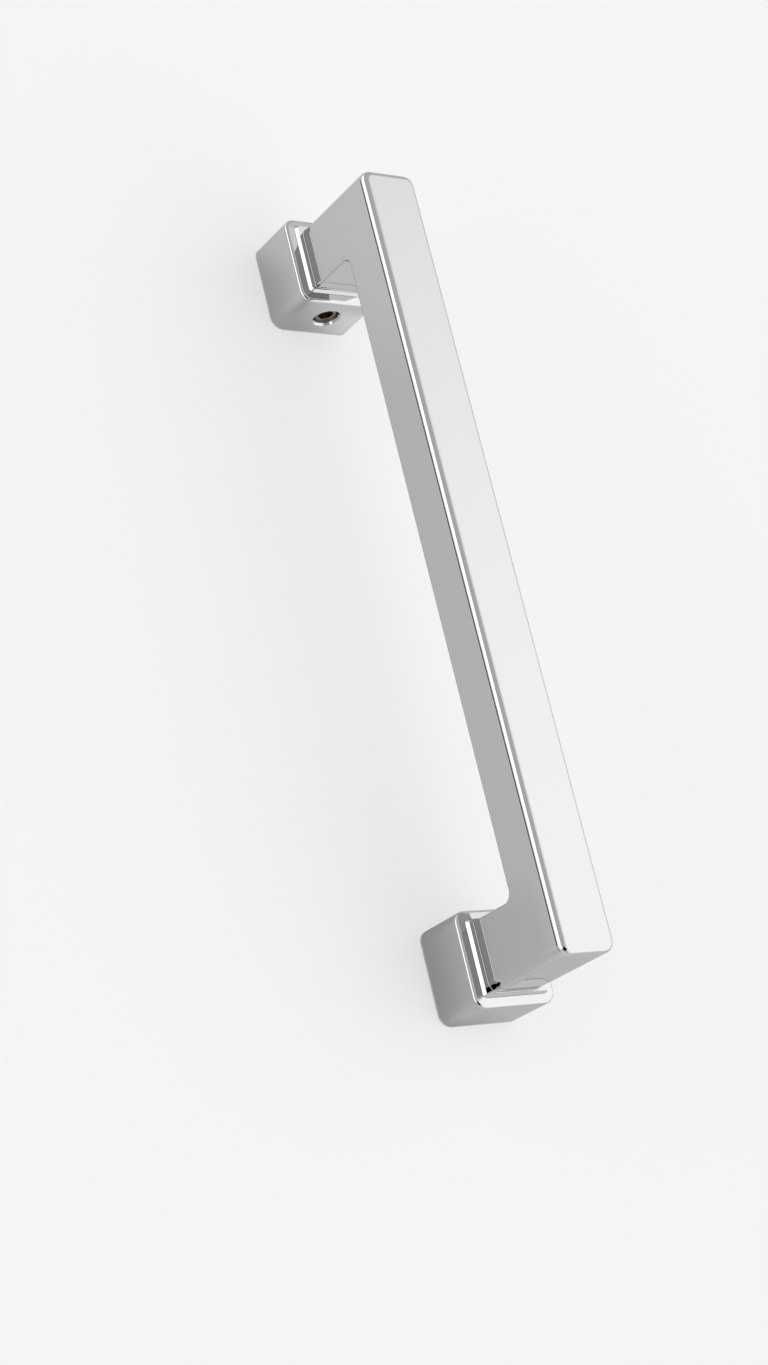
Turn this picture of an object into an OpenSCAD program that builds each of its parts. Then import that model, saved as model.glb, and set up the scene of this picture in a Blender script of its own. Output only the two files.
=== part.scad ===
// Square bar pull handle with stepped feet, held on hidden posts by a grub screw in each foot.
// The origin is the middle of the mounting plane. X runs along the bar and Z points away from the door.

/* [Bar] */
// Distance between the centres of the two feet
centres = 192; // [128:1:320]
// Width of the bar
bar_w = 16.5; // [14:0.5:19]
// Thickness of the bar between its grip face and the finger gap
bar_t = 14; // [10:0.5:18]
// Height of the grip face above the door
reach = 46.5; // [40:0.5:60]
// Radius of the upright corners at the ends of the bar
end_r = 3; // [2.2:0.1:5]
// Radius of the rim round the grip face
rim_r = 1.8; // [0.5:0.1:2]

/* [Legs] */
// Thickness of each leg along the bar
leg_t = 18; // [15:0.5:19]
// Radius of the inside corner where a leg meets the bar
gap_r = 2.6; // [1:0.1:5]
// Radius of the soft edges round the finger gap
edge_r = 0.6; // [0.3:0.1:1.2]

/* [Feet] */
// Height of the plinth where it meets the collar
plinth_h = 15.9; // [14.5:0.1:20]
// Radius of the plinth's upright corners
plinth_corner_r = 3.3; // [3.3:0.1:5]
// Radius of the plinth's upper rim
plinth_rim_r = 1; // [0.3:0.1:1.5]
// How far the plinth stands out past the collar
ledge = 2.4; // [1.8:0.1:3]
// Angle at which the plinth's top falls away from the collar
ledge_slope = 9; // [4:1:15]
// Height of the collar between the plinth and the leg
collar_h = 1; // [0.8:0.1:3]
// How far the collar stands out past the wider side of the leg
collar_step = 0.9; // [0.9:0.1:3]
// Radius of the collar's upright corners
collar_corner_r = 1.2; // [0.8:0.1:2.5]
// How far the collar's sloped sides lean in towards the leg
collar_lean = 0.5; // [0.3:0.1:0.7]
// Height of the upright wall below the sloped sides
collar_wall = 0.1; // [0.1:0.1:0.5]
// Radius of the hollow fillet at the foot of the leg
cove_r = 0.2; // [0.1:0.05:0.2]

/* [Fixing posts] */
// Diameter of the post inside each foot
post_d = 12; // [10:0.5:13]
// Length of the post
post_l = 13; // [12:0.5:13.5]
// Clearance between the post and the wall of its bore
post_clear = 0.1; // [0.05:0.01:0.3]
// Free height between the top of the post and the end of its bore
post_head_room = 1; // [0.4:0.1:3]
// Bevel round the top of the post
post_bevel = 0.8; // [0.3:0.1:1.5]
// Depth of the flat that is milled into the post for the grub screw
flat_depth = 0.8; // [0.5:0.1:1.2]
// Height of that flat
flat_h = 7.4; // [7.2:0.1:9]
// Diameter of the tapped hole for the door bolt, at the tapping size of an M6 thread
bolt_hole_d = 5; // [3.3:0.1:6]

/* [Grub screws] */
// Diameter of the screw, at the tapping size of an M8 thread
screw_d = 6.7; // [5:0.1:7]
// Length of the screw
screw_l = 6; // [5:0.5:6.5]
// Clearance between the screw and the wall of its hole
screw_clear = 0.05; // [0.02:0.01:0.1]
// Bevel at both ends of the screw
screw_bevel = 0.6; // [0.2:0.1:0.8]
// Width of the six-sided key socket across its flats
key_w = 4; // [2.5:0.5:4]
// Depth of the key socket
key_depth = 3; // [2:0.5:4]
// Bevel at the mouth of the screw's hole
mouth_bevel = 0.5; // [0.2:0.1:0.8]

/* [Hidden] */
$fn = 64;
// Sides of the key socket
key_sides = 6;
// How far a cut runs past the surface that it opens
over = 0.2;
// Overall length of the bar
length = centres + leg_t;
// Length of the finger gap between the legs
gap_l = centres - leg_t;
// Height of the finger gap above the door
gap_h = reach - bar_t;
// Width of the square collar and of the square plinth
collar_w = max(bar_w, leg_t) + 2 * collar_step;
plinth_w = collar_w + 2 * ledge;
// Height of a whole foot
foot_h = plinth_h + collar_h;
// Height of the grub screw's axis, halfway up the side of the plinth
screw_z = (plinth_h - ledge * tan(ledge_slope)) / 2;
// Distance from the post's axis to its milled flat
flat_x = post_d / 2 - flat_depth;
// Sizes of the post's bore and of the screw's hole
bore_d = post_d + 2 * post_clear;
bore_depth = post_l + post_head_room;
hole_d = screw_d + 2 * screw_clear;
// Colours of the plated casting and of the steel pieces
plated = [0.80, 0.80, 0.81];
steel = [0.45, 0.45, 0.46];

// What a round edge of radius r takes off a square corner at the origin, with the material at x < 0 and y < 0
module round_edge(r) {
    difference() {
        translate([-r, -r]) square(r + over);
        translate([-r, -r]) circle(r);
    }
}

// What a sloped top takes off a square corner at the origin. It falls from x = -l, and its edge has radius r
module sloped_top(l, slope, r) {
    centre_y = -l * tan(slope) + r * tan(slope) - r / cos(slope);
    difference() {
        translate([-l, centre_y]) square([l + over, over - centre_y]);
        polygon([
            [-l, centre_y],
            [-r, centre_y],
            [-r + r * sin(slope), centre_y + r * cos(slope)],
            [-l, 0],
        ]);
        translate([-r, centre_y]) circle(r);
    }
}

// What a sloped side takes off a square corner at the origin. It leans in by l over its height h
module sloped_side(l, h) {
    polygon([
        [-l, 0],
        [-l, over],
        [over, over],
        [over, -h],
        [0, -h],
    ]);
}

// What a hollow fillet of radius r adds between a wall at x < 0 and a floor at y < 0
module hollow_fillet(r) {
    difference() {
        translate([-over, -over]) square(r + over);
        translate([r, r]) circle(r);
    }
}

// Rectangle with rounded corners
module rounded_rect(l, w, r) {
    square([l - 2 * r, w], center = true);
    square([l, w - 2 * r], center = true);
    for (x = [-1, 1], y = [-1, 1])
        translate([x * (l / 2 - r), y * (w / 2 - r)]) circle(r);
}

// Carries a profile round a rounded rectangle. Its x axis points out of the outline and its y axis up.
// The corners at +X have radius r_a and those at -X have radius r_b
module carry_round(l, w, r_a, r_b) {
    for (flip = [0, 1]) {
        mirror([0, flip, 0])
            translate([r_b - l / 2, w / 2, 0])
                rotate([90, 0, 90]) linear_extrude(l - r_a - r_b) children();
        mirror([flip, 0, 0])
            carry_end(l, w, flip == 0 ? r_a : r_b) children();
    }
}

// The end run of such a carried profile at +X, with its two corners
module carry_end(l, w, r) {
    translate([l / 2, w / 2 - r, 0])
        rotate([90, 0, 0]) linear_extrude(w - 2 * r) children();
    for (flip = [0, 1])
        mirror([0, flip, 0])
            translate([l / 2 - r, w / 2 - r, 0])
                rotate_extrude(angle = 90) translate([r, 0]) children();
}

// Puts its children on a foot. On both feet local -X then looks at the other foot
module at_foot(side) {
    mirror([side < 0 ? 1 : 0, 0, 0]) translate([centres / 2, 0, 0]) children();
}

// Square plinth whose top falls away from the collar on all four sides
module plinth() {
    top = plinth_h + over * tan(ledge_slope);
    difference() {
        linear_extrude(top) rounded_rect(plinth_w, plinth_w, plinth_corner_r);
        translate([0, 0, top])
            carry_round(plinth_w, plinth_w, plinth_corner_r, plinth_corner_r)
                sloped_top(ledge + over, ledge_slope, plinth_rim_r);
    }
}

// Square collar whose four sides lean in towards the leg
module collar() {
    difference() {
        translate([0, 0, plinth_h - over])
            linear_extrude(collar_h + over) rounded_rect(collar_w, collar_w, collar_corner_r);
        translate([0, 0, foot_h])
            carry_round(collar_w, collar_w, collar_corner_r, collar_corner_r)
                sloped_side(collar_lean, collar_h - collar_wall);
    }
}

// Plinth and collar, with a hollow fillet round the foot of the leg
module stepped_foot() {
    plinth();
    collar();
    translate([0, 0, foot_h])
        carry_round(leg_t, bar_w, end_r, edge_r) hollow_fillet(cove_r);
}

// Bar and legs, cut from one rounded block by the finger gap
module bow() {
    difference() {
        translate([0, 0, plinth_h]) linear_extrude(reach - plinth_h) rounded_rect(length, bar_w, end_r);
        translate([0, 0, reach]) carry_round(length, bar_w, end_r, end_r) round_edge(rim_r);
        rotate([90, 0, 0])
            linear_extrude(bar_w + 2 * over, center = true) rounded_rect(gap_l, 2 * gap_h, gap_r);
        for (flip = [0, 1])
            mirror([0, flip, 0])
                translate([0, -bar_w / 2, 0])
                    rotate([90, 0, 0])
                        carry_round(gap_l, 2 * gap_h, gap_r, gap_r) mirror([1, 0]) round_edge(edge_r);
    }
}

// The post's bore and the grub screw's hole in one foot
module foot_holes() {
    translate([0, 0, -over]) cylinder(d = bore_d, h = bore_depth + over);
    translate([0, 0, screw_z]) rotate([0, -90, 0]) {
        cylinder(d = hole_d, h = plinth_w / 2 + over);
        translate([0, 0, plinth_w / 2 - mouth_bevel])
            cylinder(d1 = hole_d, d2 = hole_d + 2 * (mouth_bevel + over), h = mouth_bevel + over);
    }
}

// The cast body: bar, legs and feet in one piece
module handle_body() {
    color(plated)
        difference() {
            union() {
                bow();
                for (side = [-1, 1]) at_foot(side) stepped_foot();
            }
            for (side = [-1, 1]) at_foot(side) foot_holes();
        }
}

// Round post that is bolted to the door and holds one foot
module fixing_post() {
    difference() {
        rotate_extrude()
            polygon([
                [0, 0],
                [post_d / 2, 0],
                [post_d / 2, post_l - post_bevel],
                [post_d / 2 - post_bevel, post_l],
                [0, post_l],
            ]);
        translate([0, 0, -over]) cylinder(d = bolt_hole_d, h = post_l + 2 * over);
        translate([-flat_x - post_d, -post_d / 2 - over, screw_z - flat_h / 2])
            cube([post_d, post_d + 2 * over, flat_h]);
    }
}

// Grub screw with a flat point, which bears on the post's flat
module grub_screw() {
    translate([-flat_x, 0, screw_z]) rotate([0, -90, 0])
        difference() {
            rotate_extrude()
                polygon([
                    [0, 0],
                    [screw_d / 2 - screw_bevel, 0],
                    [screw_d / 2, screw_bevel],
                    [screw_d / 2, screw_l - screw_bevel],
                    [screw_d / 2 - screw_bevel, screw_l],
                    [0, screw_l],
                ]);
            translate([0, 0, screw_l - key_depth])
                cylinder(d = key_w / cos(180 / key_sides), h = key_depth + over, $fn = key_sides);
        }
}

handle_body();
color(steel) at_foot(-1) fixing_post();  // upper_post
color(steel) at_foot(1) fixing_post();  // lower_post
color(steel) at_foot(-1) grub_screw();  // upper_grub_screw
color(steel) at_foot(1) grub_screw();  // lower_grub_screw
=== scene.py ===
import math

import bpy
from mathutils import Matrix, Vector

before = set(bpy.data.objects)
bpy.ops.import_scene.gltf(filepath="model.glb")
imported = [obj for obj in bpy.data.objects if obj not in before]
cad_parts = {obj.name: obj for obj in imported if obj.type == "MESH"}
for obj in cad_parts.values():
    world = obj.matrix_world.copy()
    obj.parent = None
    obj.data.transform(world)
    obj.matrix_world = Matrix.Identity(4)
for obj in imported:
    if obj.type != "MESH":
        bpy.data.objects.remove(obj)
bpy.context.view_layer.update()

MM = 0.001
X_AXIS = (1, 0, 0)
Y_AXIS = (0, 1, 0)
Z_AXIS = (0, 0, 1)

# Camera: the photograph looks down on the handle from one side, rolled until the bar stands nearly upright.
# Angles are in degrees, and the clip limits in metres
PHOTO_SIZE = (768, 1365)
PHOTO_FOCAL_PX = 2650.0
CAMERA_AT = Vector((230.3, -397.7, 503.5)) * MM
CAMERA_AZIMUTH = 28.38
CAMERA_ELEVATION = 48.38
CAMERA_ROLL = 54.33
SENSOR_MM = 36.0
CLIP = (0.01, 300.0)

# All metal: how much light it returns at a glancing angle, and the scale and detail of the noise on it
EDGE_TINT = 0.8
BUFFING_SCALE = (6.0, 350.0, 350.0)
NOISE_DETAIL = 3.0

# Polished plate: how much light it returns head on, and the faint ripples that buffing left
PLATE_COLOUR = (0.55, 0.55, 0.555)
PLATE_ROUGHNESS = (0.02, 0.04)
RIPPLE_SCALE = (70.0, 70.0, 70.0)
RIPPLE_HEIGHT = 0.006 * MM

# Turned steel: the pitch of the tool's grooves, their height and how far they wander
GROOVE_PITCH = 0.25 * MM
GROOVE_HEIGHT = 0.003 * MM
GROOVE_WANDER = 0.3
STEEL_COLOUR = (0.52, 0.52, 0.53)
STEEL_ROUGHNESS = (0.24, 0.36)
OILED_COLOUR = (0.27, 0.235, 0.195)
OILED_ROUGHNESS = (0.28, 0.42)

# Period of a wave texture whose scale is 1
TEXTURE_PERIOD = math.pi / 10

# Painted shade in the crevices, put into the colour where walls are near: how near another wall is, how open
# a place is where the painted shade is full and where it ends, and the share of the colour that is left
# where it is full
CREVICE_SHADE_REACH = 0.7 * MM
CREVICE_SHADE_SAMPLES = 8
CREVICE_SHADE_OPEN = (0.45, 0.85)
PLATE_CREVICE_SHADE = 0.12
STEEL_CREVICE_SHADE = 0.35

# Floor: its half width in metres and its own grey. The camera and the metal see it lifted by a share of the
# way to an even level
FLOOR_HALF = 60.0
FLOOR_ALBEDO = 0.86
FLOOR_LIFT = 0.55
FLOOR_LEVEL = 0.925

# Studio light, in levels of which 1 is white. Each edge gives two places along a direction from the handle:
# where the light begins and where it is full. The haze lies between two heights. The strip's top is given in
# degrees above the horizon, and its end towards +X
SKY_LEVEL = 0.67
HORIZON_LEVEL = 0.8
HORIZON_HAZE = (0.0, 0.2)
WINDOW_LEVEL = 1.6
WINDOW_AXIS = (0.30, 0.74, 0.60)
WINDOW_EDGE = (0.37, 0.86)
STRIP_LEVEL = 2.2
STRIP_TOP = 33.0
STRIP_TOP_EDGE = (0.0, 0.12)
STRIP_END_EDGE = (0.6, 0.5)

# The dark gap between the lights: its azimuth in degrees from -Y towards +X, and its edges, given as above
GAP_LEVEL = 0.0
GAP_AZIMUTH = 57.0
GAP_SIDE_EDGE = (0.32, 0.24)
GAP_FOOT_EDGE = (0.28, 0.36)
GAP_TOP_EDGE = (0.88, 0.82)
GAP_FRONT_EDGE = (0.2, 0.3)

# Bright upright card beside the handle, which only reflections show. It draws the white line along the rims
BRIGHT_CARD_AWAY = 130 * MM
BRIGHT_CARD_HEIGHTS = (18 * MM, 70 * MM)
BRIGHT_CARD_ENDS = (-500 * MM, 200 * MM)

# Horizontal cards just above the floor, which only reflections show. Their sizes are in millimetres, west is
# -X and south is -Y. Each edge gives the place where the card begins and the one where it is fully dense
SOFT_CARDS = {
    "dark_line": {
        "height": 1.0, "level": 0.0, "density": 0.96,
        "west": (-200, -130), "east": (200, 130), "south": (-105, -75), "north": (-48, -62),
    },
    "foot_shade": {
        "height": 0.4, "level": 0.0, "density": 0.24,
        "west": (-113, -98), "east": (114, 106), "south": (-27, -12), "north": (8, -6),
    },
    "bar_shade": {
        "height": 0.6, "level": 0.0, "density": 0.09,
        "west": (-100, -62), "east": (160, 130), "south": (-52, -47), "north": (-5, -10),
    },
    "leg_shade": {
        "height": 0.8, "level": 0.0, "density": 0.10,
        "west": (66, 84), "east": (150, 128), "south": (-47, -40), "north": (60, 30),
    },
    "gap_light": {
        "height": 0.5, "level": 1.6, "density": 0.32,
        "west": (-104, -88), "east": (-75, -79), "south": (0, 16), "north": (46, 24),
    },
}


def grey(level):
    """A colour that is equally bright in red, green and blue."""
    return (level, level, level, 1.0)


def empty_tree(owner):
    """Node tree of a new material or world, without the nodes that it comes with."""
    owner.use_nodes = True
    owner.node_tree.nodes.clear()
    return owner.node_tree


def add(tree, kind, **settings):
    """A new node. Each setting is the value of the input of that name or, without one, of the property."""
    node = tree.nodes.new(kind)
    for key, value in settings.items():
        if key in node.inputs:
            node.inputs[key].default_value = value
        else:
            setattr(node, key, value)
    return node


def join(tree, socket, node, name):
    """Joins an output socket to one of a node's inputs, given by its name or its number."""
    tree.links.new(socket, node.inputs[name])


def calculate(tree, operation, *parts):
    """Result of an operation on its parts, each of them an output socket or a fixed number."""
    node = add(tree, "ShaderNodeMath", operation=operation)
    for number, part in enumerate(parts):
        if isinstance(part, float):
            node.inputs[number].default_value = part
        else:
            join(tree, part, node, number)
    return node.outputs["Value"]


def slope(tree, socket, kind, ends, levels=(0.0, 1.0)):
    """Goes from one level to the other as the socket goes from end to end. Kind is LINEAR or SMOOTHSTEP."""
    ramp = add(tree, "ShaderNodeMapRange", interpolation_type=kind)
    names = ("From Min", "From Max", "To Min", "To Max")
    for name, value in zip(names, (*ends, *levels)):
        ramp.inputs[name].default_value = value
    join(tree, socket, ramp, "Value")
    return ramp.outputs["Result"]


def noise(tree, place, scale, levels=(0.0, 1.0)):
    """Noise over the surface between two levels. Scale has one number for each axis."""
    stretch = add(tree, "ShaderNodeMapping", Scale=scale)
    texture = add(tree, "ShaderNodeTexNoise", Scale=1.0, Detail=NOISE_DETAIL)
    join(tree, place, stretch, "Vector")
    join(tree, stretch.outputs["Vector"], texture, "Vector")
    return slope(tree, texture.outputs["Fac"], "LINEAR", (0.0, 1.0), levels)


def falloff(tree, place, axis, edge, levels=(0.0, 1.0)):
    """Goes smoothly from one level to the other between the two places along an axis that an edge gives."""
    along = add(tree, "ShaderNodeVectorMath", operation="DOT_PRODUCT")
    along.inputs[1].default_value = axis
    join(tree, place, along, 0)
    return slope(tree, along.outputs["Value"], "SMOOTHSTEP", edge, levels)


def region(tree, place, *limits):
    """1 within all limits, and smoothly down to 0 past any of them. A limit is an axis and an edge."""
    mask, *others = [falloff(tree, place, axis, edge) for axis, edge in limits]
    for other in others:
        mask = calculate(tree, "MULTIPLY", mask, other)
    return mask


def blend_level(tree, below, factor, level):
    """Below, changed to level as factor goes from 0 to 1."""
    mix = add(tree, "ShaderNodeMix", data_type="FLOAT")
    join(tree, factor, mix, "Factor")
    join(tree, below, mix, "A")
    mix.inputs["B"].default_value = level
    return mix.outputs["Result"]


def show(tree, shader):
    """Joins a shader to the material's output."""
    output = add(tree, "ShaderNodeOutputMaterial")
    join(tree, shader.outputs[0], output, "Surface")


def blend_shaders(tree, factor, first, second):
    """Mix of two shaders, from the first to the second as factor goes from 0 to 1."""
    mix = add(tree, "ShaderNodeMixShader")
    for number, socket in enumerate((factor, first.outputs[0], second.outputs[0])):
        join(tree, socket, mix, number)
    return mix


def metal(name, colour, roughness):
    """Bare metal. Returns its material, node tree and shader, and the socket of the place on its surface."""
    material = bpy.data.materials.new(name)
    tree = empty_tree(material)
    shader = add(tree, "ShaderNodeBsdfPrincipled", Metallic=1.0)
    shader.inputs["Base Color"].default_value = (*colour, 1.0)
    shader.inputs["Specular Tint"].default_value = grey(EDGE_TINT)
    place = add(tree, "ShaderNodeTexCoord").outputs["Object"]
    join(tree, noise(tree, place, BUFFING_SCALE, roughness), shader, "Roughness")
    show(tree, shader)
    return material, tree, shader, place


def emboss(tree, shader, relief, height):
    """Raises the metal's surface where the relief is 1, by a height."""
    bump = add(tree, "ShaderNodeBump", Distance=height)
    join(tree, relief, bump, "Height")
    join(tree, bump.outputs["Normal"], shader, "Normal")


def paint_crevice_shade(tree, shader, colour, darkest):
    """Paints shade into the metal's colour where another wall is near: in hollow corners, bores and key
    sockets.
    """
    near = add(tree, "ShaderNodeAmbientOcclusion", samples=CREVICE_SHADE_SAMPLES, only_local=True)
    near.inputs["Distance"].default_value = CREVICE_SHADE_REACH
    mix = add(tree, "ShaderNodeMix", data_type="RGBA")
    mix.inputs["A"].default_value = (*[darkest * part for part in colour], 1.0)
    mix.inputs["B"].default_value = (*colour, 1.0)
    join(tree, slope(tree, near.outputs["AO"], "SMOOTHSTEP", CREVICE_SHADE_OPEN), mix, "Factor")
    join(tree, mix.outputs["Result"], shader, "Base Color")


def plated_metal():
    """Bright plate with the faint ripples of a buffed casting, and painted shade in its crevices."""
    material, tree, shader, place = metal("polished_plate", PLATE_COLOUR, PLATE_ROUGHNESS)
    emboss(tree, shader, noise(tree, place, RIPPLE_SCALE), RIPPLE_HEIGHT)
    # Painted shade: the colour is darkened in the crevices, where walls are near
    paint_crevice_shade(tree, shader, PLATE_COLOUR, PLATE_CREVICE_SHADE)
    return material


def turned_metal(name, colour, roughness, axis):
    """Turned steel with the tool's fine grooves, which follow each other along its axis."""
    material, tree, shader, place = metal(name, colour, roughness)
    grooves = add(tree, "ShaderNodeTexWave", bands_direction=axis, Distortion=GROOVE_WANDER)
    grooves.inputs["Scale"].default_value = TEXTURE_PERIOD / GROOVE_PITCH
    join(tree, place, grooves, "Vector")
    emboss(tree, shader, grooves.outputs["Fac"], GROOVE_HEIGHT)
    # Painted shade: the colour is darkened in the crevices, where walls are near
    paint_crevice_shade(tree, shader, colour, STEEL_CREVICE_SHADE)
    return material


def dress(node, material):
    """Gives a CAD node its one material."""
    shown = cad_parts[node]
    shown.data.materials.clear()
    shown.data.materials.append(material)


def make_camera():
    """The photograph's camera. Its axes follow from its azimuth, its elevation and its roll."""
    data = bpy.data.cameras.new("camera")
    camera = bpy.data.objects.new("camera", data)
    bpy.context.collection.objects.link(camera)
    azimuth = math.radians(CAMERA_AZIMUTH)
    elevation = math.radians(CAMERA_ELEVATION)
    back = Vector((
        math.sin(azimuth) * math.cos(elevation),
        -math.cos(azimuth) * math.cos(elevation),
        math.sin(elevation),
    ))
    level_right = Vector((math.cos(azimuth), math.sin(azimuth), 0.0))
    right = Matrix.Rotation(math.radians(CAMERA_ROLL), 3, back) @ level_right
    up = back.cross(right)
    turn = Matrix((right, up, back)).transposed().to_4x4()
    camera.matrix_world = Matrix.Translation(CAMERA_AT) @ turn
    data.sensor_width = SENSOR_MM
    data.lens = PHOTO_FOCAL_PX / max(PHOTO_SIZE) * SENSOR_MM
    data.clip_start, data.clip_end = CLIP
    bpy.context.scene.camera = camera


def sheet(name, corners):
    """A staged sheet with four corners. Returns its object and its material's empty node tree."""
    mesh = bpy.data.meshes.new(name)
    mesh.from_pydata(corners, [], [(0, 1, 2, 3)])
    shown = bpy.data.objects.new(name, mesh)
    bpy.context.collection.objects.link(shown)
    material = bpy.data.materials.new(name)
    mesh.materials.append(material)
    return shown, empty_tree(material)


def card(name, corners):
    """A sheet that lights nothing and shows only in reflections. Returns its material's empty node tree."""
    shown, tree = sheet(name, corners)
    shown.visible_camera = False
    shown.visible_diffuse = False
    shown.visible_shadow = False
    return tree


def flat_corners(west, east, south, north, height):
    """Corners of a horizontal rectangle, in order round it."""
    return [(west, south, height), (east, south, height), (east, north, height), (west, north, height)]


def make_floor():
    """Pale floor that keeps the handle's shadow. The camera and the metal see it lifted part way."""
    _, tree = sheet("floor", flat_corners(-FLOOR_HALF, FLOOR_HALF, -FLOOR_HALF, FLOOR_HALF, 0.0))
    rays = add(tree, "ShaderNodeLightPath").outputs
    seen = calculate(tree, "MAXIMUM", rays["Is Camera Ray"], rays["Is Glossy Ray"])
    seen = calculate(tree, "MAXIMUM", seen, rays["Is Transmission Ray"])
    lift = calculate(tree, "MULTIPLY", seen, FLOOR_LIFT)
    matt = add(tree, "ShaderNodeBsdfDiffuse", Color=grey(FLOOR_ALBEDO))
    glow = add(tree, "ShaderNodeEmission", Strength=FLOOR_LEVEL)
    show(tree, blend_shaders(tree, lift, matt, glow))


def make_bright_card():
    """An upright card as bright as the strip, which stands clear of the floor."""
    start, end = BRIGHT_CARD_ENDS
    low, high = BRIGHT_CARD_HEIGHTS
    y = -BRIGHT_CARD_AWAY
    tree = card("bright_card", [(start, y, low), (end, y, low), (end, y, high), (start, y, high)])
    show(tree, add(tree, "ShaderNodeEmission", Strength=STRIP_LEVEL))


def make_soft_card(name, height, level, density, west, east, south, north):
    """A horizontal card with a brightness level and a density, which fades out at its edges."""
    west, east, south, north = [[part * MM for part in edge] for edge in (west, east, south, north)]
    tree = card(name, flat_corners(west[0], east[0], south[0], north[0], height * MM))
    place = add(tree, "ShaderNodeTexCoord").outputs["Object"]
    mask = region(tree, place, (X_AXIS, west), (X_AXIS, east), (Y_AXIS, south), (Y_AXIS, north))
    dense = calculate(tree, "MULTIPLY", mask, density)
    clear = add(tree, "ShaderNodeBsdfTransparent")
    glow = add(tree, "ShaderNodeEmission", Strength=level)
    show(tree, blend_shaders(tree, dense, clear, glow))


def strip_light(tree, towards):
    """Where the strip is: on the -Y side, up to its top, and as far as its end towards +X."""
    top = math.radians(STRIP_TOP)
    below_top = (0, -math.sin(top), -math.cos(top))
    return region(tree, towards, (below_top, STRIP_TOP_EDGE), (X_AXIS, STRIP_END_EDGE))


def dark_gap(tree, towards):
    """Where the gap is: an upright opening that starts some way above the horizon."""
    turn = math.radians(GAP_AZIMUTH)
    forward = (math.sin(turn), -math.cos(turn), 0)
    right = (math.cos(turn), math.sin(turn), 0)
    left = (-math.cos(turn), -math.sin(turn), 0)
    return region(
        tree, towards,
        (forward, GAP_FRONT_EDGE),
        (right, GAP_SIDE_EDGE),
        (left, GAP_SIDE_EDGE),
        (Z_AXIS, GAP_FOOT_EDGE),
        (Z_AXIS, GAP_TOP_EDGE),
    )


def make_world():
    """Even sky, a soft window behind the handle, a strip light low in front of it and a dark gap."""
    world = bpy.data.worlds.new("studio")
    bpy.context.scene.world = world
    tree = empty_tree(world)
    towards = add(tree, "ShaderNodeTexCoord").outputs["Generated"]
    level = falloff(tree, towards, Z_AXIS, HORIZON_HAZE, (HORIZON_LEVEL, SKY_LEVEL))
    level = blend_level(tree, level, falloff(tree, towards, WINDOW_AXIS, WINDOW_EDGE), WINDOW_LEVEL)
    level = blend_level(tree, level, strip_light(tree, towards), STRIP_LEVEL)
    level = blend_level(tree, level, dark_gap(tree, towards), GAP_LEVEL)
    # The camera itself sees the sky at the floor's level, so that no horizon shows
    rays = add(tree, "ShaderNodeLightPath").outputs
    level = blend_level(tree, level, rays["Is Camera Ray"], FLOOR_LEVEL)
    background = add(tree, "ShaderNodeBackground", Color=grey(1.0))
    output = add(tree, "ShaderNodeOutputWorld")
    join(tree, level, background, "Strength")
    join(tree, background.outputs["Background"], output, "Surface")


make_camera()
make_floor()
make_bright_card()
for card_name, card_form in SOFT_CARDS.items():
    make_soft_card(card_name, **card_form)
make_world()
dress("handle_body", plated_metal())
turned = turned_metal("turned_steel", STEEL_COLOUR, STEEL_ROUGHNESS, "Z")
oiled = turned_metal("screw_steel", OILED_COLOUR, OILED_ROUGHNESS, "X")
for side in ("upper", "lower"):
    dress(f"{side}_post", turned)
    dress(f"{side}_grub_screw", oiled)

view = bpy.context.scene.view_settings
view.view_transform = "Standard"
